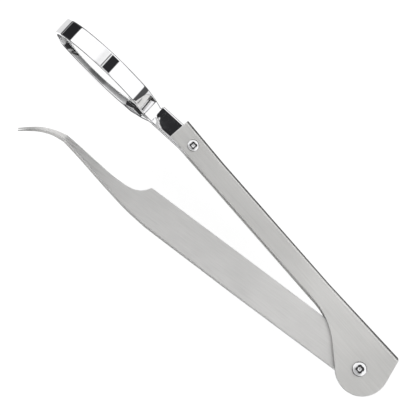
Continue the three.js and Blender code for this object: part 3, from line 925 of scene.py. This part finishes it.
def screw(name, node, x, y, head_r, head_high, shank_r, across):
    """A low polished head with a four-lobed recess, and its shank. across sets the recess's width."""
    top = HEAD_SEAT + head_high
    floor = top - head_high * RECESS_DEPTH
    angles = [2 * math.pi * i / HEAD_SIDES for i in range(HEAD_SIDES)]

    def lobe(angle, share):
        return share * across * (LOBE_MID - LOBE_WAVE * math.cos(4 * angle))

    piece = Piece()

    def ring(radius, height, painted_shade=0.0):
        points = []
        for angle in angles:
            r = radius(angle) if callable(radius) else radius
            z = height(angle) if callable(height) else height
            points.append((x + r * math.cos(angle), y + r * math.sin(angle), z))
        return piece.row(points, painted_shade)

    edge = head_high * HEAD_EDGE
    flat_r = head_r - edge
    dome = DOME * flat_r

    def crown(r):
        return top - dome * (r / flat_r) ** 2

    def between_edges(angle, share):
        inner = lobe(angle, 1.2)
        return inner + (flat_r - inner) * share

    # from the recess's floor, out over its edge and the crown, and down to the shank's end
    # the third value is painted shade, dark on the recess's walls where shade falls
    rows = [
        ring(lambda a: lobe(a, 0.2), floor - 0.07, 0.0),
        ring(lambda a: lobe(a, 0.55), floor, 0.1),
        ring(lambda a: lobe(a, 0.62), floor, 0.9),
        ring(lambda a: lobe(a, 0.8), floor + 0.01, 1.0),
        ring(lambda a: lobe(a, 0.9), floor + 0.05, 1.0),
        ring(lambda a: lobe(a, 0.97), top - 0.2, 1.0),
        ring(lambda a: lobe(a, 1.0), top - 0.1, 0.9),
        ring(lambda a: lobe(a, 1.08), lambda a: crown(lobe(a, 1.08)) - 0.01),
        ring(lambda a: lobe(a, 1.2), lambda a: crown(lobe(a, 1.2))),
    ]
    for share in (0.25, 0.5, 0.75, 1.0):
        rows.append(ring(lambda a: between_edges(a, share), lambda a: crown(between_edges(a, share))))
    shoulder = 2 * dome / flat_r  # the crown's slope where it meets the rounded edge
    for i in range(1, 9):
        rise = i / 8 * math.pi / 2
        drop = edge * (1 - math.cos(rise)) + shoulder * edge * math.sin(rise) * (1 - i / 16)
        # the outer rows of the head's rounded edge and its foot are painted dark: a painted contact shadow
        rows.append(ring(flat_r + edge * math.sin(rise), crown(flat_r) - drop, 0.8 if i > 5 else 0.0))
    rows.append(ring(head_r, HEAD_SEAT + 0.04, 0.8))
    rows.append(ring(head_r - 0.04, HEAD_SEAT))
    rows.append(ring(shank_r, HEAD_SEAT))
    rows.append(ring(shank_r, SHANK_END + SHANK_CHAMFER))
    rows.append(ring(shank_r - SHANK_CHAMFER, SHANK_END))
    for inner, outer in zip(rows, rows[1:]):
        piece.join(inner, outer)
    # the middle of the recess's floor is painted dark too: painted shade
    piece.fan(rows[0], piece.row([(x, y, floor - 0.08)], 0.8)[0])
    piece.fan(list(reversed(rows[-1])), piece.row([(x, y, SHANK_END)])[0])
    piece.build(name, node, SCREW_STEEL, sharp=60, mask="painted_shade")


def nut(name, node, x, y, head_r, head_high, shank_r, barrel_r):
    """A barrel nut: a flat head with a chamfered face, and a barrel open at its front end."""
    low, mouth = -HEAD_SEAT - head_high, BARREL_TOP
    profile = [(0, low), (head_r - NUT_CHAMFER, low), (head_r, low + NUT_CHAMFER), (head_r, -HEAD_SEAT)]
    profile += [(barrel_r, -HEAD_SEAT), (barrel_r, mouth), (shank_r + RUN, mouth)]
    profile += [(shank_r + RUN, NUT_FLOOR), (0, NUT_FLOOR)]
    piece = Piece()
    turned(piece, rounded(profile, 0.12), x, y)
    piece.build(name, node, SCREW_STEEL, sharp=60)


def flat_ring(name, node, inner_r, outer_r, low, high, x=0.0, y=0.0):
    """A washer or a sleeve."""
    profile = [(inner_r, low), (outer_r, low), (outer_r, high), (inner_r, high)]
    piece = Piece()
    turned(piece, rounded(profile, 0.08, closed=True), x, y)
    piece.build(name, node, WASHER_STEEL, sharp=60)


def pivot_stack():
    """Screw and barrel nut, the washers beside the leaves, and the disc spring under the rear one."""
    sizes = (PIVOT_HEAD_R, PIVOT_HEAD_HIGH, SHANK_R)
    screw("pivot_screw_body", "pivot_screw", 0, 0, *sizes, PIVOT_RECESS)
    nut("pivot_nut_body", "pivot_nut", 0, 0, *sizes, BARREL_R)
    clear_r = BARREL_R + RUN
    plate_gap = PLATE_INNER - SEAT
    flat_ring("front_washer_ring", "front_washer", clear_r, WASHER_R, WASHER_LOW, plate_gap)
    rear_face = -WASHER_LOW - REAR_WASHER_THICK
    flat_ring("rear_washer_ring", "rear_washer", clear_r, WASHER_R, rear_face, -WASHER_LOW)
    crest = rear_face - SEAT
    cone = [(clear_r, crest - SPRING_THICK), (SPRING_R, -plate_gap), (SPRING_R, SPRING_RIM - plate_gap)]
    cone += [(clear_r, crest)]
    piece = Piece()
    turned(piece, rounded(cone, 0.06, closed=True))
    piece.build("disc_spring_cone", "disc_spring", WASHER_STEEL, sharp=60)


def tang_stack():
    """Screw, barrel nut and sleeve through the lens holder's tang."""
    sizes = (TANG_HEAD_R, TANG_HEAD_HIGH, TANG_SHANK_R)
    screw("tang_screw_body", "tang_screw", TANG.x, TANG.y, *sizes, TANG_RECESS)
    nut("tang_nut_body", "tang_nut", TANG.x, TANG.y, *sizes, TANG_BARREL_R)
    low, high = span("tang_sleeve")
    half, outer_r = (high.z - low.z) / 2, (high.x - low.x) / 2
    clear_r = TANG_BARREL_R + RUN
    flat_ring("tang_sleeve_ring", "tang_sleeve", clear_r, outer_r, -half, half, TANG.x, TANG.y)


# Lens holder

# How far the band's two bends reach to each side of their corners
CREASE_REACH = 0.42
NECK_REACH = 0.55
HEEL_BACK = 0.8
BAND_CORNER = 0.32
BAND_CROWN = 0.03
TANG_ROLL = 0.12
GROOVE_DEPTH = 0.45
GROOVE_SHARE = 0.36
GROOVE_LIP = 0.1


def holder_place(u, v, z):
    """A point of the lens holder in the frame, with its ring skewed a little from its tang."""
    turn = Matrix.Rotation(HOLDER_ANGLE, 3, "Z")
    skew = max(0, u - SKEW_FROM_U) * math.tan(RING_SKEW)
    return turn @ Vector((u, v - skew, z)) + Vector((TANG.x, TANG.y, 0))


def cornered(line, corner, after, reach, steps=8):
    """line, then a soft bend at corner, on towards after."""
    a = corner + (line[-1] - corner).normalized() * reach
    b = corner + (after - corner).normalized() * reach
    shares = [i / steps for i in range(steps + 1)]
    return line + [a * (1 - t) ** 2 + corner * 2 * t * (1 - t) + b * t**2 for t in shares]


def band_line():
    """Half of the band's centre line in u and z: from the lens's far side round to the tang's front ply."""
    r = BAND_R - BAND_THICK / 2
    ring = arc(RING_U, 0, r, 0, MOUTH_ANGLE, 110)
    neck = Vector((NECK_U, TANG_Z))
    line = cornered(ring, Vector(CREASE), neck, CREASE_REACH)
    line = cornered(line, neck, Vector((0, TANG_Z)), NECK_REACH)
    start = NECK_U - HEEL_BACK
    return line + [Vector((start - (start - TANG_END_U) * i / 24, TANG_Z)) for i in range(1, 25)]


def between(u, keys):
    """A value that runs straight between (u, value) keys."""
    for (a, low), (b, high) in zip(keys, keys[1:]):
        if u <= b:
            share = max((u - a) / (b - a), 0)
            return low + (high - low) * share
    return keys[-1][1]


# The band's two edges along u, as v
LOW_EDGE = [(TANG_END_U, -0.6), (-0.5, -2.05), (4.6, -2.05), (5.6, -2.75), (13.7, -2.75), (14.1, -1.8),
            (16.1, -2.27), (18.6, -2.6), (25, RING_LOW_V)]
HIGH_EDGE = {
    "front": [(TANG_END_U, 1.2), (-0.8, 2.95), (14.1, 2.95), (18.6, RING_HIGH_V)],
    "rear": [(TANG_END_U, 1.2), (-0.8, 2.95), (14.1, 2.95), (15.1, 3.3), (18.6, 3.75), (23, 3.35),
             (30, RING_HIGH_V), (38, 2.92), (44, 2.95), (48, RING_HIGH_V)],
}


# Where the tang's outer face starts to roll off towards its open side, as v along u, and where that ends
ROLL_START = [(6.3, 2.2), (9.8, 2.5), (12.3, 1.6), (13.9, -0.2)]
ROLL_END_U = NECK_U - 0.5
# How much of the lens's groove there is along u
GROOVE_START = [(17.6, 0.0), (18.4, 1.0)]


def band_section(u, side, grooved, ply):
    """The band's section as (v, w) pairs, w out from its centre line: rounded rims, crowned face, groove.

    grooved is how much of the lens's groove it has, and ply is 1 where the tang's outer face rolls off.
    """
    low, high = between(u, LOW_EDGE), between(u, HIGH_EDGE[side])
    half, corner, steps = BAND_THICK / 2, BAND_CORNER, 4
    mid, reach = (low + high) / 2, (high - low) / 2
    points = []
    for i in range(17):
        share = -1 + i / 8
        v = mid + share * (reach - corner)
        crown = BAND_CROWN * share * share
        roll = ply * TANG_ROLL * max(0, v - between(u, ROLL_START)) ** 2
        points.append((v, half - crown - roll))
    top = points[-1][1]
    points += [(high - corner + corner * math.sin(a), top - corner * (1 - math.cos(a)))
               for a in (math.pi / 2 * k / steps for k in range(1, steps + 1))]
    points += [(high - corner * (1 - math.cos(a)), -half + corner * (1 - math.sin(a)))
               for a in (math.pi / 2 * k / steps for k in range(steps + 1))]
    groove = GROOVE_DEPTH * grooved
    width = reach * GROOVE_SHARE
    wall = [(width + GROOVE_LIP, -half), (width, -half + groove * 0.15), (width, -half + groove)]
    points += [(mid + v, w) for v, w in wall] + [(mid - v, w) for v, w in reversed(wall)]
    points += [(low + corner * (1 - math.sin(a)), -half + corner * (1 - math.cos(a)))
               for a in (math.pi / 2 * k / steps for k in range(steps + 1))]
    face = points[0][1]
    points += [(low + corner * (1 - math.cos(a)), face - corner * (1 - math.sin(a)))
               for a in (math.pi / 2 * k / steps for k in range(steps))]
    return points


def lens_band():
    """The chrome band round the lens, with its two ends as the plies of the tang."""
    half = band_line()
    line = [Vector((p.x, -p.y)) for p in reversed(half[1:])] + half
    piece = Piece()
    rows = []
    for i, p in enumerate(line):
        ahead = line[min(i + 1, len(line) - 1)] - line[max(i - 1, 0)]
        out = Vector((ahead.y, -ahead.x)).normalized()
        grooved = between(p.x, GROOVE_START)
        ply = 1.0 if p.x < ROLL_END_U else 0.0
        section = band_section(p.x, "front" if p.y > 0 else "rear", grooved, ply)
        rows.append(piece.row([holder_place(p.x + out.x * w, v, p.y + out.y * w) for v, w in section]))
    for first, second in zip(rows, rows[1:]):
        piece.join(second, first)
    piece.faces.append(tuple(rows[0]))
    piece.faces.append(tuple(reversed(rows[-1])))
    hole = (TANG.x, TANG.y, TANG_BARREL_R + RUN)
    piece.build("lens_band", "lens_rim", CHROME, sharp=55, hole=hole)


def lens_disc():
    """A biconvex lens, turned about Z and then stood on its edge in the band."""
    r, edge, centre = LENS_R, LENS_EDGE_HALF, LENS_CENTRE_HALF
    rise = centre - edge
    surface_r = (r * r + rise * rise) / (2 * rise)
    rings = 32
    dome = []
    for i in range(rings + 1):
        radius = (r - LENS_INSET) * i / rings
        dome.append((radius, centre - surface_r + math.sqrt(surface_r**2 - radius**2)))
    rear = [(radius, -z) for radius, z in dome]
    side = [(r, LENS_BEVEL - edge), (r, edge - LENS_BEVEL)]
    profile = rear + side + list(reversed(dome))
    piece = Piece()
    turned(piece, profile, count=192)
    piece.points = [holder_place(RING_U + p.x, RING_V + p.z, -p.y) for p in piece.points]
    piece.build("lens_disc", "lens", GLASS, sharp=30, weighted=False)


arm_sheet()
leaf("front_leaf_blade", "front_leaf", 1)
leaf("rear_leaf_blade", "rear_leaf", -1)
spacer_plate()
rivet()
pivot_stack()
tang_stack()
lens_band()
lens_disc()
